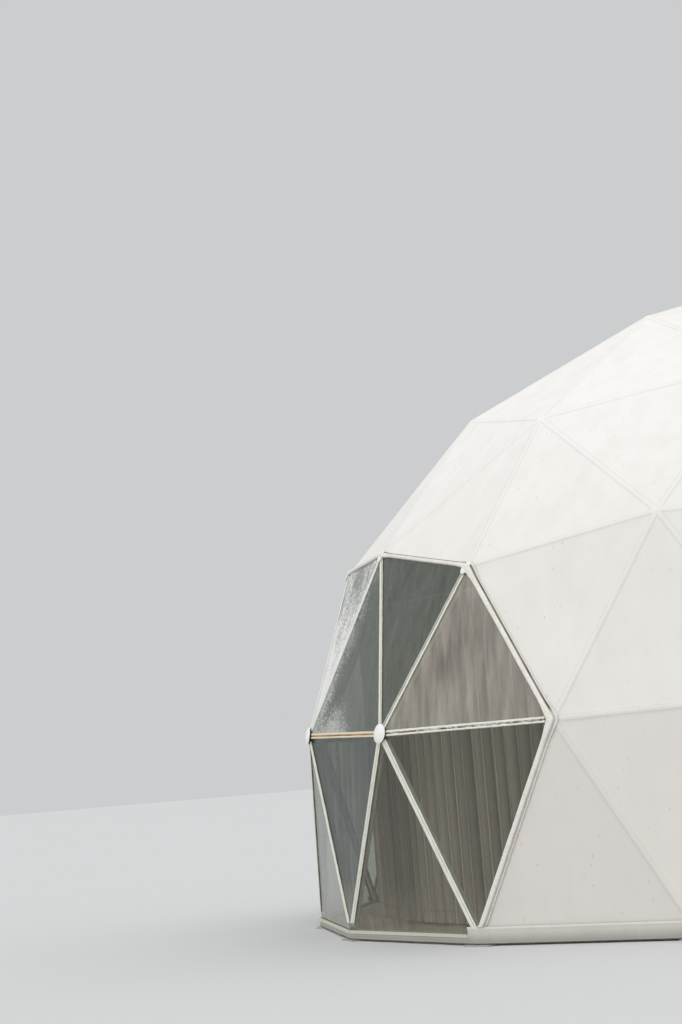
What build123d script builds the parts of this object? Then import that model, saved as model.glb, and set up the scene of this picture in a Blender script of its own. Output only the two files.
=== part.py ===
"""Geodesic dome: three-frequency icosahedral frame with a membrane cover and a glazed bay.

Units are millimetres. The origin is on the ground at the centre of the base ring, +Z is up
and the glazed bay faces -Y.
"""
import os
from math import atan2, cos, degrees, radians, sin, sqrt, tan

from build123d import *

os.makedirs("parts", exist_ok=True)

# Frame geometry: the hub points lie near one sphere. Heights and drops are from its centre.
sphere_radius = 4468.0
corner_hub_proud = 109.0
centre_hub_set_in = 60.0
waist_height = 802.0
waist_centre_hub_lift = 38.0
base_drop = 798.0
base_ring_set_in = 63.0

# Tubes, hubs and feet. A hub is a drum with one flat for each tube.
tube_radius = 24.0
tube_sides = 12
hub_radius = 60.0
hub_wall = 16.0
hub_recess = 22.0
foot_plate_length = 260.0
foot_plate_width = 150.0
foot_plate_thickness = 10.0

# Skins: the cover panels and the panes lie on the tubes.
seat_gap = 0.3
cover_thickness = 4.0
cover_seam = 0.4
pane_thickness = 8.0
pane_joint = 20.0

# Bars and trims on the glazed bay, with a raised middle.
bay_half_angle = 40.0
ring_bar_width = 47.0
upper_bar_width = 54.0
corner_bar_width = 44.0
lower_bar_width = 61.0
bar_edge = 5.0
bar_ridge = 5.0
top_trim_width = 46.0
side_trim_width = 63.0
foot_trim_width = 66.0
trim_edge = 8.0
trim_ridge = 14.0
clip_trim_gap = 4.0
clip_bar_gap = 26.0
side_hub_trim_stop = 30.0
side_hub_bar_stop = 70.0
base_bar_stop = 56.0

# Round caps over the ends of the bars, and small clips at the corners of the bay.
cap_radius = 80.0
cap_neck_radius = 66.0
cap_neck_height = 12.0
cap_rim = 4.0
cap_rise = 22.0
cap_stem_radius = 12.0
clip_radius = 30.0
clip_thickness = 7.0

# Bands round the foot of the dome.
band_play = 8.0
hem_height = 133.0
hem_thickness = 6.0
hem_past_bay = 120.0
skirt_height = 50.0
sill_height = 26.0
sill_thickness = 14.0

# Inside: floor, and curtains on a curved rail.
floor_top = 80.0
rail_side = 24.0
rail_half_angle = 62.0
hanger_drop = 405.0
hanger_radius = 8.0
curtain_depth = 90.0
curtain_clearance = 15.0
curtain_gap_above_floor = 25.0
curtain_right_start_angle = -8.0
curtain_right_end_angle = 51.0
curtain_left_start_angle = -51.0
curtain_left_end_angle = -43.0

frequency = 3
front_angle = -90.0
open_side_flats = 4
widest_hub_angle = 100.0
hub_inside = tube_radius + hub_wall
hub_outside = tube_radius - hub_recess
base_ring_radius = sqrt(sphere_radius**2 - base_drop**2) - base_ring_set_in
base_tilt = atan2(base_drop, base_ring_radius)
base_level = foot_plate_thickness + seat_gap + hub_radius * cos(base_tilt) + hub_outside * sin(base_tilt)
centre = Vector(0, 0, base_level + base_drop)
ring_floors = {"apex": 0.97, "crown": 0.85, "upper": 0.6, "shoulder": 0.3, "waist": 0.0, "base": -0.3}
rings = list(ring_floors)


def polar(radius, azimuth, level):
    """Return the point at a radius and azimuth (degrees) from the Z axis."""
    return Vector(radius * cos(radians(azimuth)), radius * sin(radians(azimuth)), level)


def icosahedron_faces():
    """Return the fifteen faces above the lowest corner, as triples of unit corners."""
    level = 1 / sqrt(5)
    turn = front_angle - 36
    apex = Vector(0, 0, 1)
    upper = [polar(2 * level, 72 * k + turn, level) for k in range(6)]
    lower = [polar(2 * level, 72 * k + 36 + turn, -level) for k in range(6)]
    faces = []
    for k in range(5):
        faces.append((apex, upper[k], upper[k + 1]))
        faces.append((upper[k], lower[k], upper[k + 1]))
        faces.append((lower[k], lower[k + 1], upper[k + 1]))
    return faces


def ring_of(direction):
    """Return the name of the ring of hubs that a unit direction belongs to, or None."""
    for name, lowest in ring_floors.items():
        if direction.Z > lowest:
            return name
    return None


def hub_point(direction, corners_used):
    """Return a hub's place: near the sphere, with the base ring level and the waist ring nearly so."""
    ring = ring_of(direction)
    azimuth = degrees(atan2(direction.Y, direction.X))
    proud = {1: corner_hub_proud, 2: 0.0, 3: -centre_hub_set_in}[corners_used]
    if ring == "base":
        return centre + polar(base_ring_radius, azimuth, -base_drop)
    if ring == "waist":
        reach = sqrt(sphere_radius**2 - waist_height**2) * (1 + proud / sphere_radius)
        lift = waist_centre_hub_lift if corners_used == 3 else 0.0
        return centre + polar(reach, azimuth, waist_height + lift)
    return centre + direction * (sphere_radius + proud)


def build_grid():
    """Divide each icosahedron face in nine, and return the hubs and the triangles between them."""
    hubs = {}
    triangles = []
    for face in icosahedron_faces():
        grid = {}
        for i in range(frequency + 1):
            for j in range(frequency + 1 - i):
                shares = (frequency - i - j, i, j)
                mixed = face[0] * shares[0] + face[1] * shares[1] + face[2] * shares[2]
                direction = mixed.normalized()
                key = tuple(round(value, 3) + 0.0 for value in direction)
                grid[i, j] = key
                if ring_of(direction):
                    corners_used = sum(1 for share in shares if share)
                    hubs[key] = (ring_of(direction), hub_point(direction, corners_used), corners_used)
        for i in range(frequency):
            for j in range(frequency - i):
                triangles.append((grid[i, j], grid[i + 1, j], grid[i, j + 1]))
                if i + j < frequency - 1:
                    triangles.append((grid[i + 1, j], grid[i + 1, j + 1], grid[i, j + 1]))
    kept = [t for t in triangles if all(key in hubs for key in t)]
    return hubs, kept


hubs, triangles = build_grid()
ring_name = {key: hubs[key][0] for key in hubs}
place = {key: hubs[key][1] for key in hubs}
corner_hubs = [key for key in hubs if hubs[key][2] == 1]
edges = sorted({tuple(sorted(pair)) for t in triangles for pair in ((t[0], t[1]), (t[1], t[2]), (t[2], t[0]))})


def outward(point):
    """Return the unit direction from the sphere's centre through a point."""
    return (point - centre).normalized()


def scaled(point, factor):
    """Return a point moved in or out along its line from the sphere's centre."""
    return centre + (point - centre) * factor


def normal_of(triangle):
    """Return a triangle's unit normal, pointing out of the dome."""
    a, b, c = (place[key] for key in triangle)
    normal = (b - a).cross(c - a).normalized()
    return normal if normal.dot(a - centre) > 0 else -normal


def distance_of(triangle):
    """Return how far a triangle's plane lies from the sphere's centre."""
    return normal_of(triangle).dot(place[triangle[0]] - centre)


def off_front(point):
    """Return how far a point's azimuth lies from the middle of the bay, in degrees."""
    return degrees(atan2(point.X, -point.Y))


def middle(keys):
    """Return the mean of some hub points."""
    total = Vector(0, 0, 0)
    for key in keys:
        total += place[key]
    return total / len(keys)


def band_of(triangle):
    """Return the ring that a triangle's lowest hubs are on."""
    return max((ring_name[key] for key in triangle), key=rings.index)


def course_of(edge):
    """Return the pair of rings that an edge joins, the higher one first."""
    return tuple(sorted((ring_name[edge[0]], ring_name[edge[1]]), key=rings.index))


def in_bay(triangle):
    """Tell whether a triangle is glazed."""
    return band_of(triangle) in ("base", "waist") and abs(off_front(middle(triangle))) < bay_half_angle


bay = [t for t in triangles if in_bay(t)]
covered = [t for t in triangles if not in_bay(t)]
plane_distance = min(distance_of(t) for t in triangles)
skin_factor = 1 + (tube_radius + seat_gap) / plane_distance


def sides_of(edge, faces):
    """Return the triangles among some faces that an edge belongs to."""
    return [t for t in faces if edge[0] in t and edge[1] in t]


def end_distance(key, along, reach, half_depth):
    """Return how far from a hub point a bar must stop to clear a drum of a given reach."""
    tilt = abs(along.dot(outward(place[key])))
    level = sqrt(1 - tilt**2)
    return (reach + seat_gap + half_depth * tilt) / level


def edge_plane(edge, factor, start):
    """Return the section plane of an edge: Z runs along the edge and Y halves the fold outside."""
    a, b = (scaled(place[key], factor) for key in edge)
    along = (b - a).normalized()
    up = Vector(0, 0, 0)
    for triangle in sides_of(edge, triangles):
        up += normal_of(triangle)
    return Plane(origin=a + along * start, x_dir=up.cross(along).normalized(), z_dir=along)


def tube_along(edge):
    """Add one tube between the drums of its two hubs."""
    a, b = (place[key] for key in edge)
    along = (b - a).normalized()
    start = end_distance(edge[0], along, hub_radius, tube_radius)
    end = end_distance(edge[1], along, hub_radius, tube_radius)
    with BuildSketch(edge_plane(edge, 1, start)) as section:
        RegularPolygon(tube_radius, tube_sides)
    extrude(section.sketch, amount=(b - a).length - start - end)


def flats_of(key, plane):
    """Return the angles at which a drum's flats face its tubes, with the side under a base hub closed."""
    angles = []
    for edge in edges:
        if key in edge:
            other = edge[0] if edge[1] == key else edge[1]
            towards = plane.to_local_coords(place[other])
            angles.append(degrees(atan2(towards.Y, towards.X)) % 360)
    angles.sort()
    flats = []
    for this, following in zip(angles, angles[1:] + [angles[0] + 360]):
        steps = 1 if following - this < widest_hub_angle else open_side_flats
        flats += [this + (following - this) * step / steps for step in range(steps)]
    return flats


def drum_on(key, radius, low, high, mode=Mode.ADD):
    """Add or cut a drum on a hub's axis, between two distances from the hub point."""
    point = place[key]
    plane = Plane(origin=point + outward(point) * low, z_dir=outward(point))
    flats = flats_of(key, plane)
    corners = []
    for this, following in zip(flats, flats[1:] + [flats[0] + 360]):
        corner = polar(radius / cos(radians(following - this) / 2), (this + following) / 2, 0)
        corners.append((corner.X, corner.Y))
    with BuildSketch(plane) as outline:
        with BuildLine():
            Polyline(*corners, close=True)
        make_face()
    extrude(outline.sketch, amount=high - low, mode=mode)


def panel_on(triangle, inset, thickness):
    """Add one flat panel on a triangle, with its edges set in from the fold lines."""
    corners = [scaled(place[key], skin_factor) for key in triangle]
    lengths = [(corners[1] - corners[2]).length, (corners[2] - corners[0]).length]
    lengths.append((corners[0] - corners[1]).length)
    around = sum(lengths)
    incentre = (corners[0] * lengths[0] + corners[1] * lengths[1] + corners[2] * lengths[2]) / around
    area = (corners[1] - corners[0]).cross(corners[2] - corners[0]).length / 2
    shrink = 1 - inset * around / (2 * area)
    plane = Plane(origin=incentre, x_dir=(corners[1] - corners[0]).normalized(), z_dir=normal_of(triangle))
    points = [plane.to_local_coords(incentre + (corner - incentre) * shrink) for corner in corners]
    with BuildSketch(plane) as outline:
        with BuildLine():
            Polyline(*[(p.X, p.Y) for p in points], close=True)
        make_face()
    extrude(outline.sketch, amount=thickness)


def bar_along(edge, width, edge_height, ridge, stops):
    """Add one bar with a raised middle, astride the fold along an edge, between two stops."""
    lift = pane_thickness + seat_gap
    factor = skin_factor + lift / plane_distance
    a, b = (scaled(place[key], factor) for key in edge)
    along = (b - a).normalized()
    normals = [normal_of(t) for t in sides_of(edge, triangles)]
    low = -pane_joint / 2 * tan(radians(normals[0].get_angle(normals[1]) / 2))
    high = low + edge_height
    half = width / 2
    start = end_distance(edge[0], along, stops[0], high + ridge)
    end = end_distance(edge[1], along, stops[1], high + ridge)
    with BuildSketch(edge_plane(edge, factor, start)) as section:
        with BuildLine():
            Polyline((-half, low), (half, low), (half, high), (0, high + ridge), (-half, high), close=True)
        make_face()
    extrude(section.sketch, amount=(b - a).length - start - end)


def write(part, name):
    """Label a finished piece and write it."""
    part.part.label = name
    export_step(part.part, f"parts/{name}.step")


# Tubes of the frame, one node for each ring and each course between two rings.
tube_nodes = {
    ("base", "base"): "base_ring_tubes",
    ("waist", "base"): "lower_course_tubes",
    ("waist", "waist"): "waist_ring_tubes",
    ("shoulder", "waist"): "middle_course_tubes",
    ("shoulder", "shoulder"): "shoulder_ring_tubes",
    ("upper", "shoulder"): "upper_course_tubes",
    ("upper", "upper"): "upper_ring_tubes",
    ("crown", "upper"): "crown_course_tubes",
    ("crown", "crown"): "apex_tubes",
    ("apex", "crown"): "apex_tubes",
}
for name in dict.fromkeys(tube_nodes.values()):
    with BuildPart() as tubes:
        for edge in edges:
            if tube_nodes[course_of(edge)] == name:
                tube_along(edge)
    write(tubes, name)

# Hubs: a drum at each hub point that the tube ends are fixed to.
for ring in rings:
    with BuildPart() as drums:
        for key in hubs:
            if ring_name[key] == ring:
                drum_on(key, hub_radius, -hub_inside, hub_outside)
    write(drums, f"{ring}_hubs")

# Foot plates on the ground, one below each hub of the base ring.
with BuildPart() as foot_plates:
    for key in hubs:
        if ring_name[key] == "base":
            point = place[key]
            azimuth = degrees(atan2(point.Y, point.X))
            with Locations(Location((point.X, point.Y, 0), (0, 0, azimuth))):
                Box(
                    foot_plate_width,
                    foot_plate_length,
                    foot_plate_thickness,
                    align=(Align.CENTER, Align.CENTER, Align.MIN),
                )
write(foot_plates, "foot_plates")

# Membrane cover, one node for each course of panels.
cover_nodes = {
    "base": "lower_cover",
    "waist": "middle_cover",
    "shoulder": "upper_cover",
    "upper": "crown_cover",
    "crown": "apex_cover",
}
for ring, name in cover_nodes.items():
    with BuildPart() as cover:
        for triangle in covered:
            if band_of(triangle) == ring:
                panel_on(triangle, cover_seam / 2, cover_thickness)
    write(cover, name)

# Panes of the glazed bay, numbered from the left as seen from the front.
for ring, course in (("waist", "upper"), ("base", "lower")):
    panes = [t for t in bay if band_of(t) == ring]
    panes.sort(key=lambda t: off_front(middle(t)))
    for number, triangle in enumerate(panes, 1):
        with BuildPart() as pane:
            panel_on(triangle, pane_joint / 2, pane_thickness)
        write(pane, f"{course}_pane_{number}")

# Bay edges: bars between two panes, trims where the glass meets the cover, and the foot.
bar_edges = [edge for edge in edges if len(sides_of(edge, bay)) == 2]
border_edges = [edge for edge in edges if len(sides_of(edge, bay)) == 1]
trim_edges = [edge for edge in border_edges if course_of(edge) != ("base", "base")]
sill_edges = [edge for edge in border_edges if course_of(edge) == ("base", "base")]
hem_edges = [edge for edge in edges if course_of(edge) == ("base", "base") and edge not in sill_edges]
bars_at = {key: sum(1 for edge in bar_edges if key in edge) for key in hubs}
cap_hubs = [key for key in hubs if ring_name[key] == "waist" and bars_at[key] == 6]
clip_hubs = [key for key in hubs if ring_name[key] == "shoulder" and bars_at[key]]


def stop_radius(key, clip_gap, side_hub_stop):
    """Return how far from a hub's axis the bars or trims that reach it stop."""
    if key in cap_hubs:
        return cap_neck_radius
    if key in clip_hubs:
        return clip_radius + clip_gap
    return base_bar_stop if ring_name[key] == "base" else side_hub_stop


def bar_width(edge):
    """Return the width of the bar between two panes: widest below the waist ring."""
    if course_of(edge) == ("waist", "waist"):
        return ring_bar_width
    if course_of(edge) == ("waist", "base"):
        return lower_bar_width
    return corner_bar_width if any(key in corner_hubs for key in edge) else upper_bar_width


# The bars and trims end level with the top of the hem.
band_bottom = foot_plate_thickness + seat_gap
bar_foot = Plane.XY.offset(band_bottom + hem_height + seat_gap)
trim_widths = {
    ("shoulder", "shoulder"): top_trim_width,
    ("shoulder", "waist"): side_trim_width,
    ("waist", "base"): foot_trim_width,
}
with BuildPart() as glazing_bars:
    for edge in bar_edges:
        stops = [stop_radius(key, clip_bar_gap, side_hub_bar_stop) for key in edge]
        bar_along(edge, bar_width(edge), bar_edge, bar_ridge, stops)
    split(bisect_by=bar_foot, keep=Keep.TOP)
write(glazing_bars, "glazing_bars")

with BuildPart() as bay_trims:
    for edge in trim_edges:
        stops = [stop_radius(key, clip_trim_gap, side_hub_trim_stop) for key in edge]
        bar_along(edge, trim_widths[course_of(edge)], trim_edge, trim_ridge, stops)
    split(bisect_by=bar_foot, keep=Keep.TOP)
write(bay_trims, "bay_trims")


def seat_level(key):
    """Return how far outside a hub point a disc lies when it rests on the skins round it."""
    levels = []
    for triangle in [t for t in triangles if key in t]:
        rise = normal_of(triangle).dot(outward(place[key]))
        ends = [place[other] - place[key] for other in triangle if other != key]
        half_corner = radians(ends[0].get_angle(ends[1]) / 2)
        glazed = triangle in bay
        lift = (skin_factor - 1) * distance_of(triangle)
        lift += pane_thickness if glazed else cover_thickness
        inset = pane_joint / 2 if glazed else cover_seam / 2
        levels.append((lift - inset / sin(half_corner) * sqrt(1 - rise**2)) / rise)
    return max(levels) + seat_gap


def cap_on(key):
    """Add one domed cap: a stem to the drum, a neck between the bar ends and a crown over them."""
    point = place[key]
    axis = outward(point)
    side = Vector(0, 0, 1).cross(axis).normalized()
    low = seat_level(key)
    stem_end = hub_outside + seat_gap
    crown = low + cap_neck_height
    edge_top = crown + cap_rim
    top = edge_top + cap_rise
    with BuildSketch(Plane(origin=point, x_dir=side, z_dir=side.cross(axis))) as profile:
        with BuildLine():
            Polyline(
                (0, top),
                (0, stem_end),
                (cap_stem_radius, stem_end),
                (cap_stem_radius, low),
                (cap_neck_radius, low),
                (cap_neck_radius, crown),
                (cap_radius, crown),
                (cap_radius, edge_top),
            )
            TangentArc((0, top), (cap_radius, edge_top), tangent=(1, 0))
        make_face()
    revolve(profile.sketch, Axis(point, axis))


# Round caps on the three hubs inside the bay.
with BuildPart() as hub_caps:
    for key in cap_hubs:
        cap_on(key)
write(hub_caps, "hub_caps")

# Small clips where the trims turn a corner at the top of the bay.
with BuildPart() as corner_clips:
    for key in clip_hubs:
        point = place[key]
        with BuildSketch(Plane(origin=point + outward(point) * seat_level(key), z_dir=outward(point))) as disc:
            RegularPolygon(clip_radius, tube_sides)
        extrude(disc.sketch, amount=clip_thickness)
write(corner_clips, "corner_clips")


def left_first(edge):
    """Return a base edge's hubs in order from left to right, as seen from outside."""
    a, b = edge
    turn = (off_front(place[b]) - off_front(place[a])) % 360
    return (a, b) if turn < 180 else (b, a)


def band_along(edge, bottom, height, thickness, left_end, right_end):
    """Add one upright band outside a base tube, with its ends set in from the hubs."""
    a, b = (place[key] for key in left_first(edge))
    along = (b - a).normalized()
    away = Vector(along.Y, -along.X, 0)
    start = a + away * (tube_radius + seat_gap + pane_thickness + band_play) + along * left_end
    start.Z = bottom
    length = (b - a).length - left_end - right_end
    with BuildSketch(Plane(origin=start, x_dir=along, z_dir=(0, 0, 1))) as outline:
        with BuildLine():
            Polyline((0, 0), (length, 0), (length, -thickness), (0, -thickness), close=True)
        make_face()
    extrude(outline.sketch, amount=height)


def bay_ends(edge):
    """Return how far the sill's ends are set in, where the hem runs on past the ends of the bay."""
    hem_hubs = {key for hem_edge in hem_edges for key in hem_edge}
    return [hem_past_bay if key in hem_hubs else 0.0 for key in left_first(edge)]


# Hem round the foot of the cover, with a low skirt below the sill of the bay.
with BuildPart() as cover_hem:
    for edge in hem_edges:
        band_along(edge, band_bottom, hem_height, hem_thickness, seat_gap, seat_gap)
    for edge in sill_edges:
        left_end, right_end = bay_ends(edge)
        length = (place[edge[0]] - place[edge[1]]).length
        band_along(edge, band_bottom, skirt_height, hem_thickness, left_end + seat_gap, right_end + seat_gap)
        if left_end:
            band_along(edge, band_bottom, hem_height, hem_thickness, seat_gap, length - left_end)
        if right_end:
            band_along(edge, band_bottom, hem_height, hem_thickness, length - right_end, seat_gap)
write(cover_hem, "cover_hem")

with BuildPart() as bay_sill:
    for edge in sill_edges:
        left_end, right_end = (end + seat_gap for end in bay_ends(edge))
        sill_bottom = band_bottom + skirt_height + seat_gap
        band_along(edge, sill_bottom, sill_height, sill_thickness, left_end, right_end)
write(bay_sill, "bay_sill")

# Floor inside the base ring.
floor_reach = base_ring_radius - foot_plate_width / 2 - seat_gap
base_azimuths = sorted(degrees(atan2(place[key].Y, place[key].X)) for key in hubs if ring_name[key] == "base")
with BuildPart() as floor:
    with BuildSketch():
        with BuildLine():
            Polyline(*[polar(floor_reach, angle, 0) for angle in base_azimuths], close=True)
        make_face()
    extrude(amount=floor_top)
write(floor, "floor")


def room_at(level):
    """Return the radius of the largest level circle that stays inside the hub drums."""
    reaches = []
    for triangle in triangles:
        rise = normal_of(triangle).Z
        inside = distance_of(triangle) - hub_inside
        reaches.append((inside - rise * (level - centre.Z)) / sqrt(1 - rise**2))
    return min(reaches)


def arc_band(radius, depth, start, end, bottom, top):
    """Add one upright band on a circle round the Z axis; angles are from the bay's middle."""
    outer = radius + depth / 2
    inner = radius - depth / 2
    half = (start + end) / 2
    with BuildSketch(Plane.XY.offset(bottom)) as outline:
        with BuildLine():
            ThreePointArc(*[polar(outer, front_angle + angle, 0) for angle in (start, half, end)])
            Line(polar(outer, front_angle + end, 0), polar(inner, front_angle + end, 0))
            ThreePointArc(*[polar(inner, front_angle + angle, 0) for angle in (end, half, start)])
            Line(polar(inner, front_angle + start, 0), polar(outer, front_angle + start, 0))
        make_face()
    extrude(outline.sketch, amount=top - bottom)


# Curved rail behind the glass, hung from the hubs of the shoulder ring.
shoulder_hubs = [key for key in hubs if ring_name[key] == "shoulder" and key not in corner_hubs]
hanger_hubs = [key for key in shoulder_hubs if abs(off_front(place[key])) < rail_half_angle]
rail_level = place[hanger_hubs[0]].Z - hanger_drop
rail_bottom = rail_level - rail_side / 2
rail_circle = room_at(rail_bottom) - curtain_clearance - curtain_depth / 2
with BuildPart() as curtain_rail:
    arc_band(rail_circle, rail_side, -rail_half_angle, rail_half_angle, rail_bottom, rail_bottom + rail_side)
    for key in hanger_hubs:
        head = place[key] - outward(place[key]) * (hub_inside - hanger_radius)
        foot = polar(rail_circle, front_angle + off_front(place[key]), rail_level)
        with BuildSketch(Plane(origin=foot, z_dir=head - foot)) as hanger:
            RegularPolygon(hanger_radius, tube_sides)
        extrude(hanger.sketch, amount=(head - foot).length)
        drum_on(key, hub_radius + seat_gap, -hub_inside - seat_gap, hub_outside, Mode.SUBTRACT)
write(curtain_rail, "curtain_rail")

# Curtains behind the glass, between the floor and the rail.
curtain_spans = {
    "curtain_right": (curtain_right_start_angle, curtain_right_end_angle),
    "curtain_left": (curtain_left_start_angle, curtain_left_end_angle),
}
for name, (start, end) in curtain_spans.items():
    with BuildPart() as curtain:
        arc_band(
            rail_circle,
            curtain_depth,
            start,
            end,
            floor_top + curtain_gap_above_floor,
            rail_bottom - seat_gap,
        )
    write(curtain, name)
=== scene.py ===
import math

import bmesh
import bpy
from mathutils import Matrix, Vector, geometry, noise


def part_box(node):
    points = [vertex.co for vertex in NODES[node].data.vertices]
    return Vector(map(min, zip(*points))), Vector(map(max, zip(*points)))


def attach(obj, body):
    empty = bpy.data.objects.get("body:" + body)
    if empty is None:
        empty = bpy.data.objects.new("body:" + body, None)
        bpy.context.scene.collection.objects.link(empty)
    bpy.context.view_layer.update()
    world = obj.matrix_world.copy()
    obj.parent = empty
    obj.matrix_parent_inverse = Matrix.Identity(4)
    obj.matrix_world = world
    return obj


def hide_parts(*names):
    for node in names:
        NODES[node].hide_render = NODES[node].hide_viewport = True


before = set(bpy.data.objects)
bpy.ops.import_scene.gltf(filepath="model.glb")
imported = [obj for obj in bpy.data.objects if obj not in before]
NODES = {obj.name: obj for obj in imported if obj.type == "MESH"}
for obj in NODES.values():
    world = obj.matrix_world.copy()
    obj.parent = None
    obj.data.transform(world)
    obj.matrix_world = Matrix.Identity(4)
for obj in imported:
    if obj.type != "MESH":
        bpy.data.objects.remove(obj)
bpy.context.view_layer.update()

# Lengths are in metres and angles in degrees, but the lens and the sensor are in millimetres. The
# camera stands where the photograph was taken.
CAMERA_PLACE = Vector((20.631, -7.116, 1.579))
CAMERA_YAW = 171.213
CAMERA_PITCH = 5.687
CAMERA_ROLL = -4.763
CAMERA_LENS = 83.489
CAMERA_SENSOR = 36.0
CAMERA_REACH = 200.0

# Studio.
STUDIO_COLOUR = (0.60, 0.61, 0.62)
STUDIO_FLOOR_SIZE = 160
STUDIO_FLOOR_DROP = 0.001
SKY_COLOUR = (1.0, 0.995, 0.985)
SKY_TOP = 1.10
SKY_FOOT = 0.66
SUN_STRENGTH = 0.7
SUN_SPREAD = 70
SUN_TURN = (42, 8, 35)


def link_object(name, data):
    """Make an object of some data, and put it in the scene."""
    made = bpy.data.objects.new(name, data)
    bpy.context.scene.collection.objects.link(made)
    return made


def add_camera():
    """Place the camera with its own yaw, pitch and roll."""
    yaw, pitch, roll = (math.radians(a) for a in (CAMERA_YAW, CAMERA_PITCH, CAMERA_ROLL))
    ahead = Vector((math.cos(yaw) * math.cos(pitch), math.sin(yaw) * math.cos(pitch), math.sin(pitch)))
    level = Vector((math.sin(yaw), -math.cos(yaw), 0))
    up = level.cross(ahead)
    right = level * math.cos(roll) + up * math.sin(roll)
    top = up * math.cos(roll) - level * math.sin(roll)
    data = bpy.data.cameras.new("camera")
    data.lens = CAMERA_LENS
    data.sensor_width = CAMERA_SENSOR
    data.sensor_fit = "AUTO"
    data.clip_end = CAMERA_REACH
    camera = link_object("camera", data)
    columns = Matrix((right, top, -ahead)).transposed().to_4x4()
    camera.matrix_world = Matrix.Translation(CAMERA_PLACE) @ columns
    bpy.context.scene.camera = camera


# Geometry read from the frame.
WELD = 0.00005
ROUGH_CENTRE = Vector((0, 0, 1))


def mean(values):
    """Return the mean of some points or of some numbers."""
    return sum(values[1:], values[0]) / len(values)


def names_with(*words):
    """Return the names of the CAD nodes that have one of some words in them, in order."""
    return [name for name in sorted(NODES) if any(word in name for word in words)]


def welded(mesh):
    """Return the form of a mesh, with points that lie together made one."""
    form = bmesh.new()
    form.from_mesh(mesh)
    bmesh.ops.remove_doubles(form, verts=form.verts, dist=WELD)
    return form


def solids_of(name):
    """Return the corner points of each separate solid of a CAD node."""
    form = welded(NODES[name].data)
    waiting = set(form.verts)
    found = []
    while waiting:
        start = min(waiting, key=lambda vert: vert.index)
        reached = {start}
        fresh = [start]
        while fresh:
            vert = fresh.pop()
            others = {edge.other_vert(vert) for edge in vert.link_edges} - reached
            reached |= others
            fresh += others
        waiting -= reached
        found.append([vert.co.copy() for vert in sorted(reached, key=lambda vert: vert.index)])
    form.free()
    return found


def halves(points, direction):
    """Split points about their middle, and return the mean of the near and of the far ones."""
    middle = mean(points)
    near = [p for p in points if (p - middle).dot(direction) < 0]
    far = [p for p in points if (p - middle).dot(direction) >= 0]
    return mean(near), mean(far)


def ends_of(points):
    """Return the middles of the two ends of a long solid."""
    middle = mean(points)
    farthest = max(points, key=lambda p: (p - middle).length)
    return halves(points, farthest - middle)


def along_axis(points, origin, axis):
    """Return how far each point lies along an axis."""
    return [(p - origin).dot(axis) for p in points]


def off_axis(points, origin, axis):
    """Return how far each point lies from an axis."""
    return [((p - origin) - axis * (p - origin).dot(axis)).length for p in points]


def tube_from(points):
    """Return a tube's two ends and its radius."""
    start, end = ends_of(points)
    return start, end, max(off_axis(points, start, (end - start).normalized()))


class Dome:
    """Hub points, tubes and triangles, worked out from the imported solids."""

    def __init__(self):
        self.drums = []
        self.drum_node = []
        levels = []
        for name in names_with("_hubs"):
            for points in solids_of(name):
                inner, outer = halves(points, mean(points) - ROUGH_CENTRE)
                axis = (outer - inner).normalized()
                self.drums.append(mean(points))
                self.drum_node.append(name)
                if name in ("base_hubs", "waist_hubs"):
                    levels.append(outer.z - axis.z * outer.xy.dot(axis.xy) / axis.xy.dot(axis.xy))
        self.centre = Vector((0, 0, mean(levels)))
        self.tubes = {name: [tube_from(points) for points in solids_of(name)]
                      for name in names_with("_tubes")}
        self.hubs = self.meet_tubes()
        self.triangles = []
        for name in names_with("_cover", "_pane_"):
            self.triangles += [self.triangle_from(name, points) for points in solids_of(name)]

    def nearest(self, point):
        """Return the number of the drum nearest to a point."""
        return min(range(len(self.drums)), key=lambda k: (self.drums[k] - point).length_squared)

    def meet_tubes(self):
        """Return the point where the axes of the tubes at each hub meet."""
        sums = [[Matrix(((0, 0, 0),) * 3), Vector()] for _ in self.drums]
        for tubes in self.tubes.values():
            for start, end, _ in tubes:
                along = (end - start).normalized()
                across = Matrix.Identity(3) - Matrix([along * c for c in along])
                for number in (self.nearest(start), self.nearest(end)):
                    sums[number][0] += across
                    sums[number][1] += across @ start
        return [matrix.inverted() @ vector for matrix, vector in sums]

    def outward(self, number):
        """Return a hub's axis, pointing out of the dome."""
        return (self.hubs[number] - self.centre).normalized()

    def triangle_from(self, name, points):
        """Return a skin triangle: its node, hubs in turn, normal, and the distances of its planes."""
        corners = list(dict.fromkeys(self.nearest(p) for p in points))
        a, b, c = (self.hubs[k] for k in corners)
        normal = (b - a).cross(c - a).normalized()
        if normal.dot(a - self.centre) < 0:
            normal = -normal
            corners = [corners[0], corners[2], corners[1]]
        depths = along_axis(points, self.centre, normal)
        return {"node": name, "hubs": corners, "normal": normal, "base": normal.dot(a - self.centre),
                "inner": min(depths), "outer": max(depths)}


dome = Dome()
PANES = [t for t in dome.triangles if "_pane_" in t["node"]]
COVERED = [t for t in dome.triangles if "_pane_" not in t["node"]]
SKIN_FACTOR = mean([Vector((t["inner"] / t["base"], 0, 0)) for t in dome.triangles]).x
PLANE_DISTANCE = min(t["base"] for t in dome.triangles)


def off_front(point):
    """Return how far a point's azimuth lies from the middle of the bay."""
    return math.degrees(math.atan2(point.x, -point.y))


def bay_hub(ring, angle):
    """Return the point of the hub of a ring that is nearest to an angle from the bay's middle."""
    points = [p for p, node in zip(dome.hubs, dome.drum_node) if node == ring + "_hubs"]
    return min(points, key=lambda p: abs(off_front(p) - angle))


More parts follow.
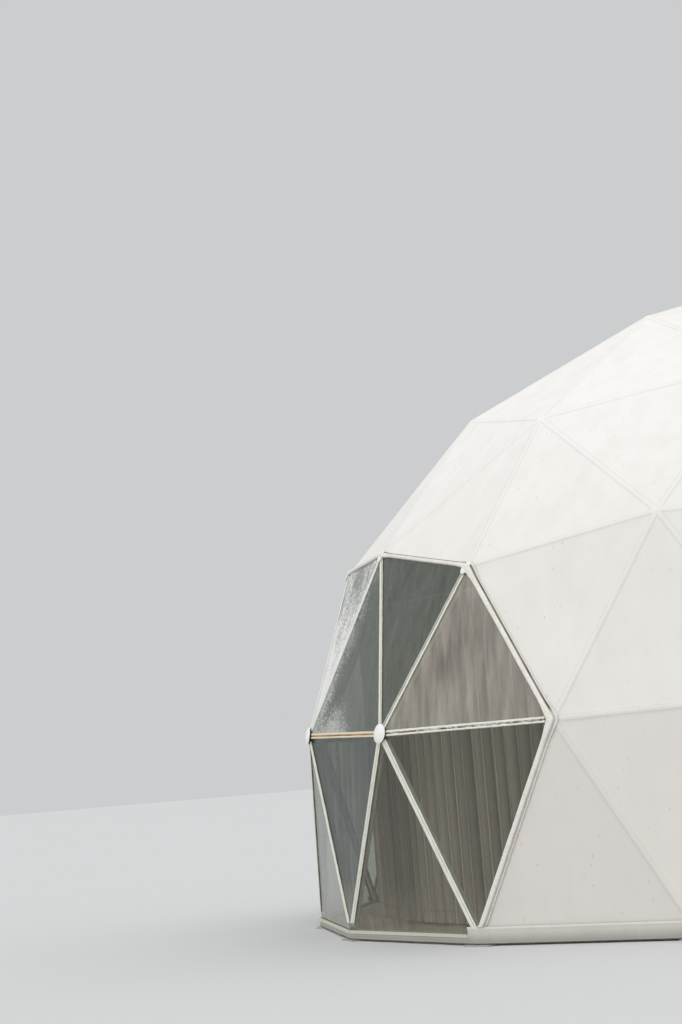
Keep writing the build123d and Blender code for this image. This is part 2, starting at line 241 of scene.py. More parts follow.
def lifted(number, lift=0.0):
    """Return a hub's corner on the skins, a given height above their inner side."""
    factor = SKIN_FACTOR + lift / PLANE_DISTANCE
    return dome.centre + (dome.hubs[number] - dome.centre) * factor


def beside(first, second):
    """Return the triangles that have an edge between two hubs."""
    return [t for t in dome.triangles if first in t["hubs"] and second in t["hubs"]]


MIDDLE_HUB = bay_hub("waist", 0.0)
TOP_HUB = bay_hub("shoulder", 14.0)
SIDE_HUB = bay_hub("waist", 24.0)


# Pieces.
def grid_faces(rows, count, closed=True):
    """Return the faces between rows of points that follow one another."""
    faces = []
    for low in range(0, (rows - 1) * count, count):
        for k in range(count if closed else count - 1):
            after = (k + 1) % count
            faces.append((low + k, low + after, low + count + after, low + count + k))
    return faces


class Shape:
    """Points and faces of one mesh that is built up from several forms, with a place on the surface."""

    def __init__(self):
        self.points = []
        self.faces = []
        self.places = []
        self.marks = []
        self.hollows = []

    def add(self, points, faces, places, mark=0):
        """Add a form, with a pair of surface coordinates for each point."""
        first = len(self.points)
        self.points += points
        self.places += places
        self.faces += [tuple(first + k for k in face) for face in faces]
        self.marks += [mark] * len(faces)

    def sweep(self, sections, closed=True, mark=0):
        """Add a skin over sections that have the same number of points."""
        count = len(sections[0])
        places = []
        gone = 0.0
        for number, section in enumerate(sections):
            if number:
                gone += (mean(section) - mean(sections[number - 1])).length
            places += [(k / max(count - 1, 1), gone) for k in range(count)]
        faces = grid_faces(len(sections), count, closed)
        if closed:
            faces.append(tuple(reversed(range(count))))
            faces.append(tuple((len(sections) - 1) * count + k for k in range(count)))
        self.add([p for section in sections for p in section], faces, places, mark)

    def turned(self, origin, axis, profile, segments, mark=0):
        """Add a form turned about an axis, from a profile of (radius, height) pairs."""
        side = axis.orthogonal().normalized()
        other = axis.cross(side)
        turns = [math.tau * k / segments for k in range(segments)]
        ways = [side * math.cos(turn) + other * math.sin(turn) for turn in turns]
        self.sweep([[origin + axis * level + way * radius for way in ways] for radius, level in profile],
                   mark=mark)

    def mesh(self, name, weld):
        """Return the mesh, with the surface coordinates as its UV map and the hollows as an attribute."""
        mesh = bpy.data.meshes.new(name)
        mesh.from_pydata(self.points, [], self.faces)
        layer = mesh.uv_layers.new(name="place")
        for loop in mesh.loops:
            layer.data[loop.index].uv = self.places[loop.vertex_index]
        mesh.polygons.foreach_set("material_index", self.marks)
        if weld:
            form = welded(mesh)
            form.to_mesh(mesh)
            form.free()
        mesh.validate()
        if self.hollows:
            mesh.attributes.new("hollow", "FLOAT", "POINT").data.foreach_set("value", self.hollows)
        return mesh


def add_piece(name, shape, paints, replaced=(), sharp=None, smooth=True, weld=False):
    """Make a piece of a shape, hang it under the root body, and hide the CAD nodes that it replaces."""
    mesh = shape.mesh(name, weld)
    piece = link_object(name, mesh)
    for paint in paints:
        mesh.materials.append(paint)
    mesh.polygons.foreach_set("use_smooth", [smooth] * len(mesh.polygons))
    if sharp is not None:
        mesh.set_sharp_from_angle(angle=math.radians(sharp))
    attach(piece, "root")
    if replaced:
        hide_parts(*replaced)
    return piece


# Materials. A noise is its scale, detail and roughness, and for some its stretch by direction. A
# spread is the two ends of a range of values, and how much shows at each. A layer is a colour and
# the spread that lays it on. A relief is the depth and the strength of a bump.
class Wiring:
    """A node tree, with short ways to add the nodes that are used here."""

    def __init__(self, tree):
        self.tree = tree

    def fill(self, node, inputs):
        """Set or link a node's inputs."""
        for key, value in inputs.items():
            if isinstance(value, bpy.types.NodeSocket):
                self.tree.links.new(value, node.inputs[key])
            else:
                node.inputs[key].default_value = value

    def node(self, kind, inputs=None, **settings):
        """Add a shader node of a kind."""
        node = self.tree.nodes.new("ShaderNode" + kind)
        for key, value in settings.items():
            setattr(node, key, value)
        self.fill(node, inputs or {})
        return node

    def parts_of(self, vector):
        """Return the three coordinates."""
        return self.node("SeparateXYZ", {0: vector}).outputs

    def spread(self, value, low, high, to_low=0.0, to_high=1.0):
        """Return a value moved from one range to another, and kept within it."""
        inputs = {"Value": value, "From Min": low, "From Max": high, "To Min": to_low, "To Max": to_high}
        return self.node("MapRange", inputs, clamp=True).outputs["Result"]

    def maths(self, operation, first, second=0.0):
        """Return a sum, product or the like."""
        return self.node("Math", {0: first, 1: second}, operation=operation).outputs[0]

    def plus(self, first, second):
        """Return a sum."""
        return self.maths("ADD", first, second)

    def times(self, first, second):
        """Return a product."""
        return self.maths("MULTIPLY", first, second)

    def apart(self, first, second=0.0):
        """Return the distance between two values."""
        return self.maths("ABSOLUTE", self.maths("SUBTRACT", first, second))


class Paint(Wiring):
    """A procedural material: one Principled shader and the nodes that drive it."""

    def __init__(self, name, rough, **sockets):
        self.material = bpy.data.materials.new(name)
        self.material.use_nodes = True
        super().__init__(self.material.node_tree)
        self.shader = self.tree.nodes["Principled BSDF"]
        self.set(Roughness=rough, **sockets)
        self.place = self.node("TexCoord").outputs["Object"]

    def set(self, **sockets):
        """Set or link the shader's sockets; an underscore stands for a space."""
        self.fill(self.shader, {key.replace("_", " "): value for key, value in sockets.items()})

    def surface(self):
        """Return the surface coordinates: across and along."""
        return self.node("UVMap", uv_map="place").outputs["UV"]

    def hollow(self):
        """Return how deep in a groove or pleat the surface lies."""
        return self.node("Attribute", attribute_name="hollow").outputs["Fac"]

    def stretched(self, vector, scale):
        """Return coordinates scaled by direction."""
        return self.node("Mapping", {"Vector": vector, "Scale": scale}).outputs["Vector"]

    def noise(self, look, at=None):
        """Return a noise value from 0 to 1."""
        scale, detail, rough, *stretch = look
        vector = at or self.place
        if stretch:
            vector = self.stretched(vector, *stretch)
        inputs = {"Vector": vector, "Scale": scale, "Detail": detail, "Roughness": rough}
        return self.node("TexNoise", inputs).outputs["Fac"]

    def patches(self, look, spread, at=None):
        """Return a noise kept within a spread."""
        return self.spread(self.noise(look, at), *spread)

    def cells(self, scale, at=None):
        """Return the distance to the nearest of scattered points."""
        return self.node("TexVoronoi", {"Vector": at or self.place, "Scale": scale}).outputs["Distance"]

    def mix(self, share, first, second):
        """Return one colour mixed into another."""
        inputs = {0: share}
        for number, colour in ((6, first), (7, second)):
            inputs[number] = colour if isinstance(colour, bpy.types.NodeSocket) else (*colour, 1)
        return self.node("Mix", inputs, data_type="RGBA").outputs[2]

    def layer(self, base, value, colour, spread):
        """Return a colour with another laid over it where a value lies in a spread."""
        return self.mix(self.spread(value, *spread), base, colour)

    def bump(self, height, depth, strength, after=None):
        """Return a normal with a height pressed into it."""
        inputs = {"Height": height, "Distance": depth, "Strength": strength}
        if after is not None:
            inputs["Normal"] = after
        return self.node("Bump", inputs).outputs["Normal"]

    def shader_mix(self, share, first, second):
        """Return one shader mixed into another."""
        return self.node("MixShader", {0: share, 1: first.outputs[0], 2: second.outputs[0]})


# Plain finishes: roughness, metal, two colours, the patches of the second one, and a fine grain.
POWDER_DUST = ((7.0, 5.0, 0.6), (0.45, 0.8))
POWDER_GRAIN = ((420.0, 2.0, 0.5), 0.0004, 0.2)
FINISHES = {
    "tube_coat": (0.38, 0.0, (0.80, 0.80, 0.77), (0.656, 0.656, 0.6314), POWDER_DUST, POWDER_GRAIN),
    "hub_coat": (0.38, 0.0, (0.72, 0.72, 0.69), (0.5904, 0.5904, 0.5658), POWDER_DUST, POWDER_GRAIN),
    "rail_paint": (0.38, 0.0, (0.75, 0.75, 0.72), (0.615, 0.615, 0.5904), POWDER_DUST, POWDER_GRAIN),
    "cap_plastic": (0.32, 0.0, (0.88, 0.88, 0.86), (0.78, 0.78, 0.74), ((14.0, 5.0, 0.6), (0.5, 0.8)),
                    ((260.0, 2.0, 0.5), 0.0003, 0.2)),
    # Near-black rubber that also stands for painted shade under the caps and brackets.
    "gasket_rubber_and_shade": (0.75, 0.0, (0.035, 0.033, 0.03), (0.10, 0.09, 0.075),
                      ((50.0, 4.0, 0.5), (0.5, 0.8)), None),
    "sill_aluminium": (0.45, 0.3, (0.64, 0.65, 0.60), (0.66, 0.65, 0.46),
                       ((12.0, 5.0, 0.6), (0.35, 0.65)), None),
    "studio_floor": (0.9, 0.0, STUDIO_COLOUR, (0.612, 0.6222, 0.6324),
                     ((0.6, 3.0, 0.5), (0.0, 1.0)), None),
}


def plain_paint(name):
    """Return a finish of one colour with patches of another and a fine grain."""
    rough, metal, first, second, patches, grain = FINISHES[name]
    paint = Paint(name, rough, Metallic=metal)
    paint.set(Base_Color=paint.mix(paint.patches(*patches), first, second))
    if grain:
        look, depth, strength = grain
        paint.set(Normal=paint.bump(paint.noise(look), depth, strength))
    return paint.material


STEEL_DARK = (0.44, 0.45, 0.46)
STEEL_LIGHT = ((0.58, 0.59, 0.60), (0.1, 0.8))
STEEL_SPANGLE = 160.0
STEEL_DULLING = ((40.0, 4.0, 0.5), (0.3, 0.8, 0.35, 0.6))


def steel_paint():
    """Galvanised steel with a spangle and duller patches."""
    paint = Paint("galvanised", rough=0.45, Metallic=0.85)
    colour = paint.layer(STEEL_DARK, paint.cells(STEEL_SPANGLE), *STEEL_LIGHT)
    paint.set(Base_Color=colour, Roughness=paint.patches(*STEEL_DULLING))
    return paint.material


# Painted light: the cover's colour turns whiter higher up, where light from above falls, and darker towards
# the foot from dirt and painted shade.
COVER_GREY = (0.785, 0.775, 0.742)
COVER_PAINTED_TOP_LIGHT = ((0.865, 0.855, 0.832), (3.3, 4.7))
COVER_FOOT_DIRT_AND_SHADE = ((0.75, 0.715, 0.675), (1.5, 2.3, 0.85, 0.0))
COVER_CLOUDS = (0.9, 5.0, 0.6)
COVER_CLOUD_SHARE = (0.3, 0.75, 0.3, 1.0)
FOOT_CLOUD = 0.5
STREAKS = (5.0, 5.0, 0.65, (1.0, 1.0, 0.10))
STREAK_LAYER = ((0.66, 0.64, 0.60), (0.42, 0.75, 0.0, 0.42))
SPECK_SCALE = 15.0
SPECK_STRETCH = (1.0, 1.0, 0.45)
SPECK_LAYER = ((0.40, 0.38, 0.34), (0.05, 0.13, 1.0, 0.0))
SPECK_SWARMS = ((2.7, 4.0, 0.5), (0.38, 0.62, 0.0, 0.5))
WELD_LAYER = ((0.52, 0.50, 0.46), (0.001, 0.006, 0.30, 0.0))
FOOT_DARK_COLOUR = (0.30, 0.285, 0.25)
FOOT_DARK_RISE = (0.06, 0.17)
FOOT_DARK_RAGGED = 0.05
COVER_BUMPS = (((1.5, 3.0, 0.5), 0.03, 0.5), ((9.0, 3.0, 0.5), 0.003, 0.3), ((900.0, 2.0, 0.5), 0.0004, 0.25))


def membrane_paint(name, foot_dark=0.0):
    """Coated polyester: off-white, whiter higher up with painted light from above, darker towards the foot
    from dirt and painted shade, with weld lines and a fine weave.
    """
    paint = Paint(name, rough=0.6)
    height = paint.parts_of(paint.place)[2]
    cloud = paint.noise(COVER_CLOUDS)
    streak = paint.noise(STREAKS)
    # Painted light: whiter higher up.
    colour = paint.layer(COVER_GREY, paint.plus(height, cloud), *COVER_PAINTED_TOP_LIGHT)
    # Dirt and painted shade: darker and warmer towards the foot.
    colour = paint.layer(colour, paint.plus(height, paint.times(cloud, FOOT_CLOUD)), *COVER_FOOT_DIRT_AND_SHADE)
    tone, share = STREAK_LAYER
    dirt = paint.times(paint.spread(streak, *share), paint.spread(cloud, *COVER_CLOUD_SHARE))
    colour = paint.mix(dirt, colour, tone)
    tone, share = SPECK_LAYER
    speck = paint.spread(paint.cells(SPECK_SCALE, paint.stretched(paint.place, SPECK_STRETCH)), *share)
    colour = paint.mix(paint.times(speck, paint.patches(*SPECK_SWARMS)), colour, tone)
    off_weld = paint.apart(paint.parts_of(paint.surface())[0], SEAM_HALF_WIDTH)
    colour = paint.layer(colour, off_weld, *WELD_LAYER)
    # Darker near the ground, with a ragged upper edge.
    near_ground = paint.plus(height, paint.times(streak, FOOT_DARK_RAGGED))
    colour = paint.layer(colour, near_ground, FOOT_DARK_COLOUR, (*FOOT_DARK_RISE, foot_dark, 0.0))
    normal = None
    for look, depth, strength in COVER_BUMPS:
        normal = paint.bump(paint.noise(look), depth, strength, normal)
    paint.set(Base_Color=colour, Normal=normal)
    return paint.material


# Each pane's film colour, which is partly a film on the glass and partly painted reflection and shade that
# differ from pane to pane, how much each of its faces shows the film, its frost, how far the frost spreads
# and how thick its crust is, by its place from the middle of the bay outwards.
PANE_LOOKS = {
    "upper": (((0.085, 0.105, 0.085), 0.36, 1.0, 1.8, 0.10), ((0.078, 0.104, 0.078), 0.48, 0.72, 0.40, 0.01),
              ((0.105, 0.12, 0.095), 0.48, 0.1, 0.15, 0.0), ((0.78, 0.72, 0.65), 0.215, 0.1, 0.15, 0.0)),
    "lower": (((0.09, 0.11, 0.09), 0.20, 0.0, 0.1, 0.0), ((0.020, 0.037, 0.026), 0.54, 0.0, 0.1, 0.0),
              ((0.20, 0.185, 0.15), 0.07, 0.0, 0.1, 0.0), ((0.30, 0.275, 0.225), 0.085, 0.0, 0.1, 0.0)),
}
MIDDLE_PANE = 4
GLASS_TINT = (0.80, 0.815, 0.78)
GLASS_MIRROR = (0.0, 1.0, 0.03, 0.7)
GLASS_MIRROR_POWER = 5.0
GLASS_MIRROR_ROUGH = 0.04
FROST_COLOUR = (0.93, 0.94, 0.93)
FROST_SLOPE = TOP_HUB.x / (TOP_HUB.z - MIDDLE_HUB.z)
FROST_EDGE = 0.02
FROST_FOOT_WIDTH = (SIDE_HUB.x * 0.35, SIDE_HUB.x * 0.75, 1.0, 0.0)
FROST_THINS_UPWARDS = (0.35, 1.2, 1.0, 0.55)
FROST_GRAIN = (46.0, 6.0, 0.8)
FROST_PATCHES = (3.4, 4.0, 0.6)
FROST_BY_PATCH = 0.35
FROST_BY_EDGE = 0.30
FROST_LIMITS = (0.80, 0.96)
FROST_FULL = 0.3
FROST_COVER = 0.85
FROST_DULLS = (0.0, 0.5, 1.0, 0.0)
FILM_AND_REFLECTION_CLOUDS = ((1.3, 4.0, 0.6), (0.3, 0.7, 0.8, 1.2))
RUN_MARKS = ((1.0, 3.0, 0.55, (13.0, 13.0, 0.14)), (0.32, 0.68, 0.6, 1.4))
HAZE_COLOUR = (0.56, 0.50, 0.42)
HAZE_RISE = (0.08, 0.50, 1.0, 0.0)
HAZE_TONE = 0.6
HAZE_COVER = 0.10


def glass_paint(name, film, cover, frost, reach, crust):
    """Tinted glass with a thin film on it, whose colour is partly painted reflection and shade; frost grows
    from two of its sides, and it mirrors at a slant.
    """
    paint = Paint(name, rough=0.6)
    x, _, z = paint.parts_of(paint.place)
    rise = paint.maths("SUBTRACT", z, MIDDLE_HUB.z)
    off_side = paint.apart(paint.apart(x), paint.times(rise, FROST_SLOPE))
    by_side = paint.times(paint.spread(off_side, FROST_EDGE, reach, 1.0, 0.0),
                          paint.spread(rise, *FROST_THINS_UPWARDS))
    by_foot = paint.times(paint.spread(rise, 0.0, reach, 1.0, 0.0),
                          paint.spread(paint.apart(x), *FROST_FOOT_WIDTH))
    near = paint.maths("MAXIMUM", by_side, by_foot)
    patch = paint.times(paint.noise(FROST_PATCHES), FROST_BY_PATCH)
    thick = paint.plus(paint.times(near, FROST_BY_EDGE), patch)
    low, high = (limit - crust for limit in FROST_LIMITS)
    icy = paint.spread(paint.plus(paint.noise(FROST_GRAIN), thick), low, high)
    icy = paint.times(icy, paint.spread(near, 0.0, FROST_FULL, 0.0, frost))
    cloud = paint.times(paint.patches(*FILM_AND_REFLECTION_CLOUDS), paint.patches(*RUN_MARKS))
    haze = paint.times(paint.spread(z, *HAZE_RISE), cloud)
    # The film's colour is partly a film on the glass and partly painted reflection and shade.
    film_and_reflection_colour = paint.mix(paint.times(haze, HAZE_TONE), film, HAZE_COLOUR)
    paint.set(Base_Color=paint.mix(icy, film_and_reflection_colour, FROST_COLOUR))
    film_and_reflection_share = paint.plus(paint.times(cloud, cover), paint.times(haze, HAZE_COVER))
    share = paint.maths("MAXIMUM", film_and_reflection_share, paint.times(icy, FROST_COVER))
    clear = paint.node("BsdfTransparent", {"Color": (*GLASS_TINT, 1)})
    coated = paint.shader_mix(share, clear, paint.shader)
    mirror = paint.node("BsdfGlossy", {"Color": (1, 1, 1, 1), "Roughness": GLASS_MIRROR_ROUGH})
    facing = paint.node("LayerWeight", {"Blend": 0.5}).outputs["Facing"]
    slant = paint.spread(paint.maths("POWER", facing, GLASS_MIRROR_POWER), *GLASS_MIRROR)
    slant = paint.times(slant, paint.spread(icy, *FROST_DULLS))
    shown = paint.shader_mix(slant, coated, mirror)
    paint.tree.links.new(shown.outputs[0], paint.tree.nodes["Material Output"].inputs["Surface"])
    return paint.material


# Paint of bars and of the border band: its colour, the dirt in the grooves, which also stands for painted
# shade at the feet and on the flanks of the beads, the rust in that dirt, how many dashes of dirt there are
# along a metre, and how much of it lies between them.
BAR_LOOKS = {
    "ring_bar_paint": ((0.86, 0.86, 0.80), (0.05, 0.055, 0.035), (0.12, 0.10, 0.06), 14.0, 0.0),
    "bar_paint": ((0.84, 0.85, 0.78), (0.10, 0.11, 0.07), (0.20, 0.18, 0.09), 8.0, 0.5),
    "rusty_bar_paint": ((0.80, 0.76, 0.60), (0.52, 0.25, 0.07), (0.26, 0.11, 0.03), 4.0, 0.75),
    "frosted_bar_paint": ((0.86, 0.87, 0.85), (0.60, 0.62, 0.59), (0.70, 0.71, 0.68), 8.0, 0.3),
}
TRIM_LOOK = ((0.86, 0.845, 0.81), (0.060, 0.052, 0.038), (0.21, 0.175, 0.135), 3.0, 0.85)
STAIN_TINT = (0.93, 0.90, 0.80)
STAINS = ((9.0, 5.0, 0.65), (0.42, 0.7))
FINE_DIRT = ((60.0, 4.0, 0.6), (0.5, 0.75, 0.0, 0.3))
DASHES = (1.0, 3.0, 0.6)
DASH_LIMITS = (0.38, 0.52)
DASHES_ACROSS = 3.0
RUST_PATCHES = ((4.0, 3.0, 0.6), (0.4, 0.6))
BRUSH_MARKS = (120.0, 3.0, 0.6)
BRUSH_RELIEF = (0.0008, 0.4)


def bar_paint(name, colour, groove, rust, dashes, between):
    """Old white paint with dirty grooves and painted shade at its feet: the surface's first coordinate runs
    across the bar.
    """
    paint = Paint(name, rough=0.5)
    stained = tuple(c * tint for c, tint in zip(colour, STAIN_TINT))
    base = paint.mix(paint.patches(*STAINS), colour, stained)
    base = paint.mix(paint.patches(*FINE_DIRT), base, groove)
    marks = (*DASHES, (DASHES_ACROSS, dashes, 1.0))
    ragged = paint.patches(marks, (*DASH_LIMITS, between, 1.0), paint.surface())
    dirt = paint.mix(paint.patches(*RUST_PATCHES), groove, rust)
    # Dirt and rust in the grooves, with painted shade at the feet and on the bead flanks.
    base = paint.mix(paint.times(paint.hollow(), ragged), base, dirt)
    paint.set(Base_Color=base, Normal=paint.bump(paint.noise(BRUSH_MARKS), *BRUSH_RELIEF))
    return paint.material


WOOD_GRAIN = (5.0, 6.0, 0.65, (9.0, 0.7, 9.0))
WOOD_RELIEF = (0.0015, 0.5)
WOOD_LIGHT = (0.80, 0.66, 0.51)
WOOD_DARK = ((0.54, 0.43, 0.32), (0.35, 0.7))
BOARD_TONE = ((0.82, 0.70, 0.56), (0.0, 1.0, 0.0, 0.45))


def wood_paint():
    """Brown floor boards: the grain runs along Y, and each board has its own tone."""
    paint = Paint("floor_wood", rough=0.5)
    across = paint.parts_of(paint.surface())[0]
    tone = paint.node("TexWhiteNoise", {"W": across}, noise_dimensions="1D").outputs["Value"]
    grain = paint.noise(WOOD_GRAIN)
    colour = paint.layer(WOOD_LIGHT, grain, *WOOD_DARK)
    colour = paint.layer(colour, tone, *BOARD_TONE)
    paint.set(Base_Color=colour, Normal=paint.bump(grain, *WOOD_RELIEF))
    return paint.material


CLOTH_LIGHT = (0.90, 0.80, 0.715)
CLOTH_SLUBS = (1.0, 5.0, 0.6, (900.0, 1.1, 1.0))
SLUB_LAYER = ((0.74, 0.65, 0.575), (0.35, 0.7))
CLOTH_CLOUDS = (1.6, 4.0, 0.6)
CLOUD_LAYER = ((0.92, 0.84, 0.76), (0.35, 0.7, 0.0, 0.35))
# Painted shade: darker colours laid deep in the pleats.
PLEAT_SHADE_LAYERS = (((0.46, 0.395, 0.345), (0.05, 0.50, 0.0, 0.85)),
               ((0.10, 0.088, 0.074), (0.50, 0.95, 0.0, 0.92)))
STITCH_LAYER = ((0.20, 0.175, 0.15), (0.001, 0.004, 0.55, 0.0))
STITCH_HEIGHTS = (0.09, 0.105, 2.56, 2.60)
WARP_SCALE = 160.0
WARP_WANDER = 1.5
WARP_RELIEF = (0.0004, 0.3)


def curtain_paint():
    """Grey-brown woven cloth with a soft sheen, with painted shade deep in its pleats."""
    paint = Paint("curtain_cloth", rough=0.85, Sheen_Weight=0.2, Sheen_Roughness=0.5)
    weave = {"Vector": paint.surface(), "Scale": WARP_SCALE, "Distortion": WARP_WANDER}
    warp = paint.node("TexWave", weave, bands_direction="X").outputs["Fac"]
    colour = paint.layer(CLOTH_LIGHT, paint.noise(CLOTH_SLUBS, paint.surface()), *SLUB_LAYER)
    colour = paint.layer(colour, paint.noise(CLOTH_CLOUDS), *CLOUD_LAYER)
    # Painted shade deep in the pleats.
    for layer in PLEAT_SHADE_LAYERS:
        colour = paint.layer(colour, paint.hollow(), *layer)
    along = paint.parts_of(paint.surface())[1]
    for height in STITCH_HEIGHTS:
        colour = paint.layer(colour, paint.apart(along, height), *STITCH_LAYER)
    paint.set(Base_Color=colour, Normal=paint.bump(warp, *WARP_RELIEF))
    return paint.material


# Membrane cover: one sheet over all the covered triangles, with welded seams on the folds.
COVER_SIDE_STEPS = 20
COVER_SAG = 0.012
SEAM_HALF_WIDTH = 0.022
SEAM_EDGE = 0.001
SEAM_STEP = 0.0009
COVER_RINGS = (0.0, 0.005, SEAM_HALF_WIDTH - SEAM_EDGE, SEAM_HALF_WIDTH + SEAM_EDGE, 0.05, 0.09, 0.15,
               0.23, 0.33, 0.42)
WRINKLE = 0.0016
WRINKLE_REACH = 0.42
WRINKLE_SPREAD = 5.5


def cover_height(reach, inradius):
    """Return how far the sheet lies outside the flat triangle, at a distance from its edges."""
    slack = min(reach / inradius, 1.0)
    sag = COVER_SAG * (1 - (1 - slack) ** 2)
    seam = SEAM_STEP if 0 < reach < SEAM_HALF_WIDTH else 0.0
    return seam - sag


def wrinkle_at(point, corners):
    """Return small creases that run out from the hubs, where the sheet is pulled hardest."""
    total = 0.0
    for corner in corners:
        away = point - corner
        length = away.length
        if length < WRINKLE_REACH:
            fade = math.sin(math.pi * length / WRINKLE_REACH)
            total += fade * noise.noise(away.normalized() * WRINKLE_SPREAD + corner) * WRINKLE
    return total


def area_of(corners):
    """Return the area of a triangle."""
    return (corners[1] - corners[0]).cross(corners[2] - corners[0]).length / 2


def cover_panel(corners, normal, number):
    """Return points, faces and places of a covered triangle, as rings set in from its edges."""
    sides = [(corners[(k + 1) % 3] - corners[(k + 2) % 3]).length for k in range(3)]
    around = sum(sides)
    incentre = (corners[0] * sides[0] + corners[1] * sides[1] + corners[2] * sides[2]) / around
    inradius = 2 * area_of(corners) / around
    points = []
    places = []
    for reach in COVER_RINGS:
        lift = cover_height(reach, inradius)
        set_in = [incentre + (corner - incentre) * (1 - reach / inradius) for corner in corners]
        for k in range(3):
            for step in range(COVER_SIDE_STEPS):
                point = set_in[k].lerp(set_in[(k + 1) % 3], step / COVER_SIDE_STEPS)
                crease = wrinkle_at(point, corners) if reach > SEAM_HALF_WIDTH else 0.0
                points.append(point + normal * (lift + crease))
                places.append((reach, number + 0.5))
    count = 3 * COVER_SIDE_STEPS
    last = len(points) - count
    faces = grid_faces(len(COVER_RINGS), count)
    faces += [(last + k, last + (k + 1) % count, len(points)) for k in range(count)]
    points.append(incentre + normal * cover_height(inradius, inradius))
    places.append((inradius, number + 0.5))
    return points, faces, places


def make_cover(paint):
    """Make the membrane cover."""
    thickness = COVERED[0]["outer"] - COVERED[0]["inner"]
    shape = Shape()
    for number, triangle in enumerate(COVERED):
        corners = [lifted(k, thickness) for k in triangle["hubs"]]
        shape.add(*cover_panel(corners, triangle["normal"], number))
    nodes = sorted({t["node"] for t in COVERED})
    piece = add_piece("membrane_cover", shape, [paint], nodes, weld=True)


# Frame.
TUBE_FACETS = 20
COLLAR_RADIUS = 0.030
COLLAR_LENGTH = 0.007
BOLT_FROM_END = 0.035
BOLT_SINK = 0.001
BOLT_FACETS = 6
WASHER_FACETS = 12
WASHER = ((0.0, 0.0), (0.012, 0.0), (0.012, 0.002), (0.0, 0.002))
BOLT_HEAD = ((0.0, 0.002), (0.008, 0.002), (0.008, 0.008), (0.0068, 0.009), (0.0, 0.009))


def make_tubes(paint):
    """Make round tubes with a collar at each end, in place of each node of plain ones."""
    for name, tubes in dome.tubes.items():
        shape = Shape()
        for start, end, radius in tubes:
            length = (end - start).length
            half = [(COLLAR_RADIUS, 0.0), (COLLAR_RADIUS, COLLAR_LENGTH), (radius, COLLAR_LENGTH)]
            profile = half + [(wide, length - level) for wide, level in reversed(half)]
            shape.turned(start, (end - start).normalized(), profile, TUBE_FACETS)
        add_piece("round_" + name, shape, [paint], [name], sharp=40)


def make_bolts(paint):
    """Make the bolt heads and washers that hold each tube end, on the side that faces into the dome."""
    shape = Shape()
    for start, end, radius in (tube for tubes in dome.tubes.values() for tube in tubes):
        along = (end - start).normalized()
        for place in (start + along * BOLT_FROM_END, end - along * BOLT_FROM_END):
            inward = dome.centre - place
            inward = (inward - along * inward.dot(along)).normalized()
            foot = place + inward * (radius - BOLT_SINK)
            shape.turned(foot, inward, WASHER, WASHER_FACETS)
            shape.turned(foot, inward, BOLT_HEAD, BOLT_FACETS)
    add_piece("tube_bolts", shape, [paint], smooth=False, weld=True)


# Bars and trims: sections are read from the solids, and get beads and grooves.
BEAD_STEPS = 10
RING_BEADS = (0.36, 0.22, 0.42)
LOWER_BEADS = (0.28, 0.36, 0.36)
UPPER_BEADS = (0.22, 0.16, 0.62)
MIDDLE_ANGLE = 1.0
BAR_STEP = 0.05
BAR_GROOVE = 0.62
BAR_WOBBLE = 0.0016
BAR_UNEVEN = 0.03
# Painted shade at a bar's feet, where it meets the glass.
FOOT_HOLLOW = 0.6
SUNK_ROUNDING = 0.45
OUTER_DROP = 0.25
LOBE_POWER = 0.5
# How far dirt and painted shade reach up the flanks of each bead.
DIRT_AND_SHADE_ENDS = 0.7
BAR_WOBBLE_SCALE = 3.0
BAR_UNEVEN_SCALE = 6.0
BAR_UNEVEN_ACROSS = 40


def bar_frame(points):
    """Return what a bar's solid says: hubs, axes, ends along the edge, width and heights."""
    first, second = (dome.nearest(end) for end in ends_of(points))
    along = (dome.hubs[second] - dome.hubs[first]).normalized()
    up = sum((t["normal"] for t in beside(first, second)), Vector()).normalized()
    side = up.cross(along).normalized()
    up = along.cross(side)
    origin = lifted(first)
    reach, wide, high = (along_axis(points, origin, axis) for axis in (along, side, up))
    return {"hubs": (first, second), "origin": origin, "along": along, "up": up, "side": side,
            "ends": (min(reach), max(reach)), "half": max(wide), "low": min(high), "top": max(high)}


def beaded(half, low, top, beads, groove, sunk):
    """Return a section across a bar: (across, height, hollow) from one foot to the other."""
    section = [(-half, low, FOOT_HOLLOW)]
    start = -half
    for number, share in enumerate(beads):
        width = 2 * half * share
        high = top if 0 < number < len(beads) - 1 else top - groove * OUTER_DROP
        for k in range(1 if number else 0, BEAD_STEPS + 1):
            across = start + width * k / BEAD_STEPS
            lobe = math.sin(math.pi * k / BEAD_STEPS) ** LOBE_POWER
            if number == sunk:
                section.append((across, high - groove * (1 - SUNK_ROUNDING * lobe), 1.0))
            else:
                section.append((across, high - groove * (1 - lobe), 1 - min(lobe / DIRT_AND_SHADE_ENDS, 1)))
        start += width
    section.append((half, low, FOOT_HOLLOW))
    return section


